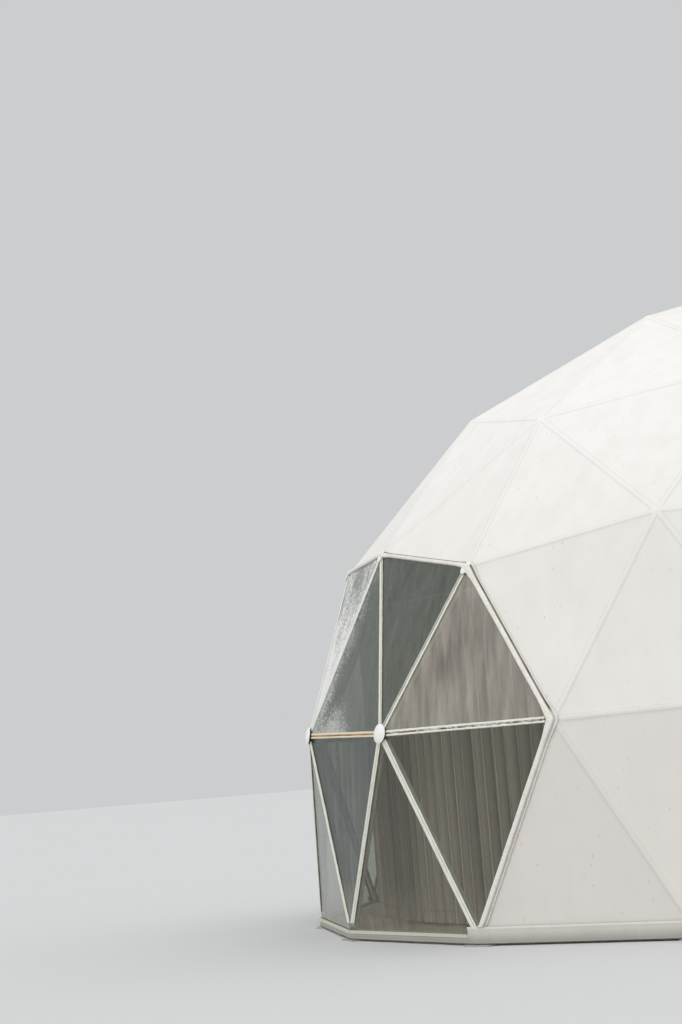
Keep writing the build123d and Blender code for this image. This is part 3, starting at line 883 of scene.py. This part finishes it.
def make_bars(paints):
    """Make the glazing bars with their beads, a little uneven along their length."""
    shape = Shape()
    foot_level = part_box("glazing_bars")[0].z
    caps = {dome.nearest(mean(points)) for points in solids_of("hub_caps")}
    for points in solids_of("glazing_bars"):
        bar = bar_frame(points)
        kinds = {dome.drum_node[k] for k in bar["hubs"]}
        lower = "base_hubs" in kinds
        if kinds == {"waist_hubs"}:
            beads = RING_BEADS
            look = "rusty_bar_paint" if caps.issuperset(bar["hubs"]) else "ring_bar_paint"
        else:
            beads = LOWER_BEADS if lower else UPPER_BEADS
            middle = any(abs(off_front(dome.hubs[k])) < MIDDLE_ANGLE for k in bar["hubs"])
            look = "frosted_bar_paint" if middle and not lower else "bar_paint"
        groove = (bar["top"] - bar["low"]) * BAR_GROOVE
        section = beaded(bar["half"], bar["low"], bar["top"], beads, groove, None if lower else 1)
        start, end = bar["ends"]
        count = max(int((end - start) / BAR_STEP), 2)
        rows = []
        for k in range(count + 1):
            centre = bar["origin"] + bar["along"] * (start + (end - start) * k / count)
            wobble = noise.noise(centre * BAR_WOBBLE_SCALE) * BAR_WOBBLE
            row = []
            for across, height, _ in section:
                shift = Vector((across * BAR_UNEVEN_ACROSS, 0, 0))
                swell = 1 + BAR_UNEVEN * noise.noise(centre * BAR_UNEVEN_SCALE + shift)
                row.append(centre + bar["side"] * (across * swell + wobble) + bar["up"] * height)
            rows.append(row)
        for p in (p for row in rows for p in row if lower and p.z < foot_level):
            p += bar["along"] * ((foot_level - p.z) / bar["along"].z)
        shape.sweep(rows, mark=list(BAR_LOOKS).index(look))
        shape.hollows += [hollow for _ in rows for _, _, hollow in section]
    add_piece("bar_strips", shape, paints, ["glazing_bars"], sharp=60)


# Across the border band, from the cover's side to the glass: share of its width, of its height, and how dark
# it is from dirt and painted shade.
TRIM_SECTION = (
    (-0.50, -0.10, 0.5), (-0.49, 0.16, 0.1), (-0.42, 0.26, 0.0), (-0.36, 0.20, 0.2), (-0.33, 0.10, 0.9),
    (-0.25, 0.08, 1.0), (-0.19, 0.14, 1.0), (-0.17, 0.45, 0.7), (-0.15, 0.72, 0.2), (-0.08, 0.92, 0.0),
    (0.02, 1.00, 0.0), (0.10, 0.95, 0.05), (0.18, 0.95, 0.05), (0.28, 1.00, 0.0), (0.38, 0.86, 0.0),
    (0.46, 0.60, 0.0), (0.50, 0.30, 0.3), (0.50, -0.30, 0.8),
)
TRIM_STEP = 0.06
TRIM_FROM_HUB = 0.035
TRIM_JITTER = 0.0012
TRIM_JITTER_SCALE = 5.0
TRIM_JITTER_ACROSS = 3
TRIM_BELOW = 0.006
CORNER_SWELL = 1.5
SWELL_REACH = 0.16
SWELL_POWER = 0.7
MITRE_LEAST = 0.5
CORNER_ROUNDING = 0.65
LOWER_DIRT_AND_SHADE = 0.38


def border_path():
    """Return the hubs round the bay from its left foot over the top to its right foot."""
    glazed, covered = ({frozenset(p) for t in group for p in zip(t["hubs"], t["hubs"][1:] + t["hubs"][:1])}
                       for group in (PANES, COVERED))
    border = [tuple(pair) for pair in glazed & covered]
    feet = [k for pair in border for k in pair if dome.drum_node[k] == "base_hubs"]
    path = [min(feet, key=lambda k: off_front(dome.hubs[k]))]
    while len(path) <= len(border):
        near = [a if b == path[-1] else b for a, b in border if path[-1] in (a, b)]
        path.append([k for k in near if k not in path][0])
    return path


def corner_between(before, after, hub):
    """Return the station of the border band at a corner, from those on its two sides."""
    side = (before[1] + after[1]).normalized()
    up = (before[2] + after[2]).normalized()
    stretch = 1 / max(side.dot(before[1]), MITRE_LEAST)
    half, low, top = ((before[k] + after[k]) / 2 for k in (3, 4, 5))
    return hub, side * stretch, up, half, low, top, 1 - CORNER_ROUNDING * (1 - 1 / stretch)


def make_trims(paint):
    """Make the border band: one sleeve that turns the corners, with a groove on the cover's side."""
    path = border_path()
    trims = [bar_frame(points) for points in solids_of("bay_trims")]
    foot_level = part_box("bay_trims")[0].z
    stations = []
    for number, (first, second) in enumerate(zip(path, path[1:])):
        trim = [t for t in trims if set(t["hubs"]) == {first, second}][0]
        start, end = lifted(first), lifted(second)
        length = (end - start).length
        along = (end - start).normalized()
        covered = [t for t in beside(first, second) if t in COVERED][0]
        side = trim["up"].cross(along).normalized()
        if side.dot(mean([dome.hubs[k] for k in covered["hubs"]]) - start) > 0:
            side = -side
        edge = []
        count = int(length / TRIM_STEP)
        for k in range(count + 1):
            gone = TRIM_FROM_HUB + (length - 2 * TRIM_FROM_HUB) * k / count
            off_corner = min(gone if number else length, length - gone if number < len(path) - 2 else length)
            swell = 1 + (CORNER_SWELL - 1) * max(1 - off_corner / SWELL_REACH, 0) ** SWELL_POWER
            edge.append((start + along * gone, side, trim["up"], trim["half"] * swell, trim["low"],
                         trim["top"], 1.0))
        if stations:
            stations.append(corner_between(stations[-1], edge[0], start))
        stations += edge
    shape = Shape()
    rows = []
    for place, side, up, half, low, top, outer in stations:
        row = []
        # Dirt and painted shade in the groove and at the feet, less of it below the waist.
        dirt = 1.0 if place.z > MIDDLE_HUB.z else LOWER_DIRT_AND_SHADE
        for across, high, hollow in TRIM_SECTION:
            shift = Vector((across * TRIM_JITTER_ACROSS, high, 0))
            jitter = TRIM_JITTER * noise.noise(place * TRIM_JITTER_SCALE + shift)
            height = low + (top - low) * max(high, 0) + TRIM_BELOW * min(high, 0)
            reach = across * 2 * half * (outer if across < 0 else 1.0)
            point = place + side * (reach + jitter) + up * (height + jitter)
            point.z = max(point.z, foot_level)
            row.append(point)
            shape.hollows.append(hollow * dirt)
        rows.append(row)
    shape.sweep(rows)
    add_piece("bay_border", shape, [paint], ["bay_trims"], sharp=70)


# Caps and clips.
CAP_SEGMENTS = 72
CAP_DOME_STEPS = 12
CAP_DOME_POWER = 2.2
CAP_DOME_WIDTH = 0.985
CAP_LIP = (0.004, 0.0015)
CAP_EDGE = 0.001
CAP_RIM = 0.999
NECK_RIM = 0.99
NECK_BELOW = 0.002
PIN_HOLE = 0.001
CLIP_SEGMENTS = 48
CLIP_TONGUE = 0.052
CLIP_DROP = 0.04
CLIP_LUMPS = 0.16
CLIP_LUMP_SCALE = 1.7
TONGUE_POWER = 2.5
CLIP_REACH = PLANE_DISTANCE * 0.45

# Sections of a bracket and its near-black rim, which is partly rubber and partly painted shade: share of the
# reach, which side of the clip, and metres above it.
BRACKET_LEVELS = ((1.0, 0, 0.0), (1.04, 0, 0.004), (0.98, 1, 0.0), (0.80, 1, 0.005), (0.4, 1, 0.008),
                  (0.0, 1, 0.009))
RUBBER_AND_SHADE_LEVELS = ((1.0, 0, -0.0015), (1.0, 0, 0.0015), (0.0, 0, 0.0015))
RUBBER_AND_SHADE_PROUD = 0.004


def make_caps(plastic, rubber):
    """Make the domed caps, each on a near-black gasket that is partly rubber and partly painted shade under
    the cap.
    """
    shape = Shape()
    for points in solids_of("hub_caps"):
        hub = dome.nearest(mean(points))
        axis = dome.outward(hub)
        origin = dome.hubs[hub]
        heights = along_axis(points, origin, axis)
        radii = off_axis(points, origin, axis)
        top, radius = max(heights), max(radii)
        rim = [h for h, r in zip(heights, radii) if r > radius * CAP_RIM]
        low, edge = min(rim), max(rim)
        neck = max(r for h, r in zip(heights, radii) if h < low - NECK_BELOW)
        foot = min(h for h, r in zip(heights, radii) if r > neck * NECK_RIM)
        in_by, up_by = CAP_LIP
        crown = [(PIN_HOLE, low), (radius - in_by, low), (radius, low + up_by), (radius, edge - CAP_EDGE)]
        for k in range(CAP_DOME_STEPS, 0, -1):
            turn = k / CAP_DOME_STEPS
            crown.append((radius * turn * CAP_DOME_WIDTH, edge + (top - edge) * (1 - turn**CAP_DOME_POWER)))
        crown.append((PIN_HOLE, top))
        shape.turned(origin, axis, crown, CAP_SEGMENTS)
        gasket = [(PIN_HOLE, foot), (neck, foot), (neck, low), (PIN_HOLE, low)]
        shape.turned(origin, axis, gasket, CAP_SEGMENTS, mark=1)
    add_piece("cap_covers", shape, [plastic, rubber], ["hub_caps"], sharp=35)


def make_clips(plastic, rubber):
    """Make the lumpy brackets at the corners of the bay: a disc and a tongue over the bar ends, on a
    near-black rim that is partly rubber and partly painted shade.
    """
    shape = Shape()
    caps = [dome.hubs[dome.nearest(mean(points))] for points in solids_of("hub_caps")]
    for points in solids_of("corner_clips"):
        middle = mean(points)
        hub = dome.hubs[dome.nearest(middle)]
        axis = dome.outward(dome.nearest(middle))
        heights = along_axis(points, middle, axis)
        radius = max(off_axis(points, middle, axis))
        sides = (min(heights), max(heights))
        down = mean([(cap - hub).normalized() for cap in caps if (cap - hub).length < CLIP_REACH])
        down = (down - axis * down.dot(axis)).normalized()
        other = axis.cross(down)
        for mark, (proud, levels) in enumerate(((0.0, BRACKET_LEVELS), (RUBBER_AND_SHADE_PROUD, RUBBER_AND_SHADE_LEVELS))):
            rows = []
            for share, which, above in levels:
                row = []
                for k in range(CLIP_SEGMENTS):
                    turn = math.tau * k / CLIP_SEGMENTS
                    ahead, aside = math.cos(turn), math.sin(turn)
                    lumps = 1 + CLIP_LUMPS * noise.noise(Vector((ahead, aside, hub.x)) * CLIP_LUMP_SCALE)
                    tongue = CLIP_TONGUE * max(ahead, 0.0) ** TONGUE_POWER
                    reach = (radius * lumps + tongue + proud) * share
                    bend = CLIP_DROP * max(reach * ahead - radius, 0.0)
                    away = down * ahead + other * aside
                    row.append(middle + away * reach + axis * (sides[which] + above - bend))
                rows.append(row)
            shape.sweep(rows, mark=mark)
    add_piece("corner_brackets", shape, [plastic, rubber], ["corner_clips"])


# Curtains. The pleats wander along the rail, and drift and loosen towards the floor. A wander is its
# strength, how fast it changes along the rail and down the cloth, and its layer of the noise.
PLEAT_PITCH = 0.128
PLEAT_SWING = 0.036
PLEAT_STEPS = 16
PLEAT_WANDER = (1.9, 0.9, 0.0, 9.0)
PLEAT_DRIFT = (1.3, 0.22, 0.9, 5.0)
PLEAT_UNEVEN = (0.55, 0.75, 0.7, 4.0)
PLEAT_AT_RAIL = 0.80
PLEAT_LOOSENS = 0.12
PLEAT_MOST = 1.15
PLEAT_LEAN = 0.15
PLEAT_POWER = 1.3
CURTAIN_ROWS = 56
CURTAIN_EDGE = 0.008


def wander(look, at, loose):
    """Return a slow change of the pleats, at a place along the rail and down the cloth."""
    strength, along, down, layer = look
    return strength * noise.noise(Vector((at * along, loose * down, layer)))


def make_curtain(name, paint):
    """Make one pleated curtain in the space of its solid, with pleats of uneven width and depth."""
    low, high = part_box(name)
    corners = [p for points in solids_of(name) for p in points]
    radii = [p.xy.length for p in corners]
    radius = (min(radii) + max(radii)) / 2
    angles = [math.atan2(p.x, -p.y) for p in corners]
    start, end = min(angles) + CURTAIN_EDGE, max(angles) - CURTAIN_EDGE
    pleats = (end - start) * radius / PLEAT_PITCH
    count = int(pleats * PLEAT_STEPS)
    shape = Shape()
    rows = []
    for row in range(CURTAIN_ROWS + 1):
        level = low.z + (high.z - low.z) * row / CURTAIN_ROWS
        loose = 1 - row / CURTAIN_ROWS
        line = []
        for k in range(count + 1):
            at = pleats * k / count
            turn = math.tau * at + wander(PLEAT_WANDER, at, loose) + loose * wander(PLEAT_DRIFT, at, loose)
            depth = PLEAT_AT_RAIL + PLEAT_LOOSENS * loose + wander(PLEAT_UNEVEN, at, loose)
            swing = PLEAT_SWING * min(depth, PLEAT_MOST)
            ridge = ((1 + math.sin(turn)) / 2) ** PLEAT_POWER
            lean = PLEAT_LEAN * PLEAT_PITCH * math.sin(2 * turn) / radius
            angle = start + (end - start) * k / count + lean
            out = radius + swing * (2 * ridge - 1)
            line.append(Vector((out * math.sin(angle), -out * math.cos(angle), level)))
            # The hollows carry the painted shade deep in the pleats.
            shape.hollows.append(1 - ridge * min(swing / PLEAT_SWING, 1.0))
        rows.append(line)
    shape.sweep(rows, closed=False)
    piece = add_piece(name + "_cloth", shape, [paint], [name])


# Hem: a hanging strip with a weld near its top and a roll round its foot.
HEM_ROLL = 0.006
HEM_ROLL_STEPS = 12
HEM_ROLL_TURN = 1.75
HEM_WELD = 0.022
HEM_WELD_STEP = 0.001
HEM_WELD_SLOPE = 0.002
HEM_ROLL_TOP = 0.004
HEM_CORNER = 0.06
HEM_STRAIGHT = 0.999
HEM_STEP = 0.05
HEM_ROW = 0.02
HEM_HELD = 0.12
HEM_WAVE = 0.007
HEM_WAVE_SCALE = 4.5
HEM_PINCH = 0.0016
HEM_PINCH_SCALE = Vector((19.0, 19.0, 9.0))


def flat(vector):
    """Return a vector without its rise."""
    return Vector((vector.x, vector.y, 0))


def hem_strips():
    """Return the straight strips of the hem's outer face, in turn round the foot, that meet at corners."""
    strips = []
    for points in solids_of("cover_hem"):
        middle = mean(points)
        farthest = max(points, key=lambda p: (p - middle).xy.length)
        start, end = halves(points, flat(farthest - middle))
        along = (end - start).normalized()
        out = Vector((along.y, -along.x, 0))
        if out.dot(flat(middle)) < 0:
            along, out = -along, -out
        face = flat(middle) + out * max(along_axis(points, middle, out))
        reach = along_axis(points, middle, along)
        strips.append({"ends": [face + along * min(reach), face + along * max(reach)], "out": out,
                       "low": min(p.z for p in points), "high": max(p.z for p in points)})
    strips.sort(key=lambda strip: math.atan2(*mean(strip["ends"]).xy))
    for strip, after in zip(strips, strips[1:] + strips[:1]):
        here, there = min(((a, b) for a in (0, 1) for b in (0, 1)),
                          key=lambda pair: (strip["ends"][pair[0]] - after["ends"][pair[1]]).length)
        meeting = geometry.intersect_line_line(*strip["ends"], *after["ends"])
        if strip["out"].dot(after["out"]) < HEM_STRAIGHT and meeting is not None:
            if (meeting[0] - strip["ends"][here]).length < HEM_CORNER:
                strip["ends"][here] = meeting[0].copy()
                after["ends"][there] = meeting[0].copy()
    return strips


def hem_section(low, high):
    """Return the hem's section from its top to the end of the roll: (outwards, level) pairs."""
    foot = low + HEM_ROLL
    weld = high - HEM_WELD
    section = [(-HEM_WELD_STEP, high), (HEM_WELD_STEP, high - HEM_WELD_SLOPE),
               (HEM_WELD_STEP, weld + HEM_WELD_SLOPE), (0.0, weld)]
    steps = max(int((high - foot) / HEM_ROW), 1)
    section += [(0.0, weld + (foot + HEM_ROLL_TOP - weld) * k / steps) for k in range(1, steps + 1)]
    for k in range(HEM_ROLL_STEPS + 1):
        turn = math.pi * (0.5 - HEM_ROLL_TURN * k / HEM_ROLL_STEPS)
        section.append((HEM_ROLL * (math.sin(turn) - 1), foot + HEM_ROLL * math.cos(turn)))
    return section


def make_hem(paint):
    """Make the hem: a hanging strip of membrane with a rolled foot, in place of each straight solid."""
    shape = Shape()
    for strip in hem_strips():
        first, last = strip["ends"]
        out, low, high = strip["out"], strip["low"], strip["high"]
        length = (last - first).length
        count = max(int(length / HEM_STEP), 2)
        rows = []
        for share in (k / count for k in range(count + 1)):
            centre = first.lerp(last, share)
            loose = min(min(share, 1 - share) * length / HEM_HELD, 1.0)
            row = []
            for across, level in hem_section(low, high):
                hang = (high - level) / (high - low)
                wave = HEM_WAVE * hang * noise.noise(flat(centre) * HEM_WAVE_SCALE + Vector((0, 0, 3)))
                pinch = HEM_PINCH * noise.noise(Vector((centre.x, centre.y, level)) * HEM_PINCH_SCALE)
                place = centre + out * (across + loose * (wave + pinch))
                row.append(Vector((place.x, place.y, level)))
            rows.append(row)
        shape.sweep(rows, closed=False)
    piece = add_piece("foot_hem", shape, [paint], ["cover_hem"])


# Floor.
BOARD_WIDTH = 0.145
BOARD_GAP = 0.004
BOARD_THICKNESS = 0.024
FLOOR_RIM = 0.001
BASE_SHRINK = 0.997
BASE_DROP = 0.0005


def clipped(outline, limit, keep_above):
    """Return a convex outline cut by a line across X."""
    kept = []
    for here, there in zip(outline, outline[1:] + outline[:1]):
        inside = [(p.x >= limit) == keep_above for p in (here, there)]
        if inside[0]:
            kept.append(here)
        if inside[0] != inside[1]:
            kept.append(here.lerp(there, (limit - here.x) / (there.x - here.x)))
    return kept


def add_slab(shape, outline, bottom, top, tone):
    """Add a flat slab with an outline."""
    count = len(outline)
    corners = [Vector((p.x, p.y, z)) for z in (bottom, top) for p in outline]
    faces = grid_faces(2, count)
    faces.append(tuple(reversed(range(count))))
    faces.append(tuple(range(count, 2 * count)))
    shape.add(corners, faces, [(tone, 0.0)] * len(corners))


def make_floor(paint):
    """Make the floor boards on a plain base."""
    low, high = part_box("floor")
    ring = [p.xy for p in solids_of("floor")[0] if p.z > high.z - FLOOR_RIM]
    ring.sort(key=lambda p: math.atan2(p.y, p.x))
    shape = Shape()
    under = high.z - BOARD_THICKNESS
    add_slab(shape, [p * BASE_SHRINK for p in ring], low.z, under - BASE_DROP, 0.0)
    for k in range(int((high.x - low.x) / BOARD_WIDTH) + 1):
        left = low.x + k * BOARD_WIDTH
        board = clipped(ring, left + BOARD_GAP / 2, True)
        board = clipped(board, left + BOARD_WIDTH - BOARD_GAP / 2, False)
        if len(board) > 2:
            add_slab(shape, board, under, high.z, float(k + 1))
    add_piece("floor_boards", shape, [paint], ["floor"], smooth=False)


def make_studio():
    """Make the world, the pale floor and the soft light."""
    world = bpy.data.worlds.new("world")
    bpy.context.scene.world = world
    world.use_nodes = True
    sky = Wiring(world.node_tree)
    shown = sky.tree.nodes["Background"]
    sky.fill(shown, {"Color": (*STUDIO_COLOUR, 1)})
    rise = sky.parts_of(sky.node("TexCoord").outputs["Generated"])[2]
    strength = sky.spread(rise, 0.0, 1.0, SKY_FOOT, SKY_TOP)
    lit = sky.node("Background", {"Color": (*SKY_COLOUR, 1), "Strength": strength})
    rays = sky.node("LightPath").outputs
    seen = rays["Is Camera Ray"]
    for name in ("Is Glossy Ray", "Is Transmission Ray"):
        seen = sky.maths("MAXIMUM", seen, rays[name])
    mixed = sky.node("MixShader", {0: seen, 1: lit.outputs[0], 2: shown.outputs[0]})
    sky.fill(sky.tree.nodes["World Output"], {"Surface": mixed.outputs[0]})
    bpy.ops.mesh.primitive_plane_add(size=STUDIO_FLOOR_SIZE, location=(0, 0, -STUDIO_FLOOR_DROP))
    floor = bpy.context.object
    floor.name = "studio_floor"
    floor.data.materials.append(plain_paint("studio_floor"))
    sun = link_object("soft_key", bpy.data.lights.new("soft_key", "SUN"))
    sun.data.energy = SUN_STRENGTH
    sun.data.angle = math.radians(SUN_SPREAD)
    sun.rotation_euler = [math.radians(angle) for angle in SUN_TURN]


def paint_nodes(names, material):
    """Give CAD nodes that stay their finish."""
    for name in names:
        NODES[name].data.materials.clear()
        NODES[name].data.materials.append(material)


add_camera()
make_studio()

for name in names_with("_pane_"):
    course, _, number = name.split("_")
    look = PANE_LOOKS[course][abs(int(number) - MIDDLE_PANE)]
    paint_nodes([name], glass_paint(name + "_glass", *look))
steel = steel_paint()
plastic = plain_paint("cap_plastic")
rubber = plain_paint("gasket_rubber_and_shade")
cloth = curtain_paint()
paint_nodes(names_with("_hubs"), plain_paint("hub_coat"))
paint_nodes(["foot_plates"], steel)
paint_nodes(["curtain_rail"], plain_paint("rail_paint"))
paint_nodes(["bay_sill"], plain_paint("sill_aluminium"))

make_cover(membrane_paint("membrane_coating"))
make_tubes(plain_paint("tube_coat"))
make_bolts(steel)
make_bars([bar_paint(name, *look) for name, look in BAR_LOOKS.items()])
make_trims(bar_paint("trim_paint", *TRIM_LOOK))
make_caps(plastic, rubber)
make_clips(plastic, rubber)
make_curtain("curtain_right", cloth)
make_curtain("curtain_left", cloth)
make_hem(membrane_paint("hem_coating", foot_dark=0.8))
make_floor(wood_paint())

bpy.context.scene.view_settings.view_transform = "Standard"
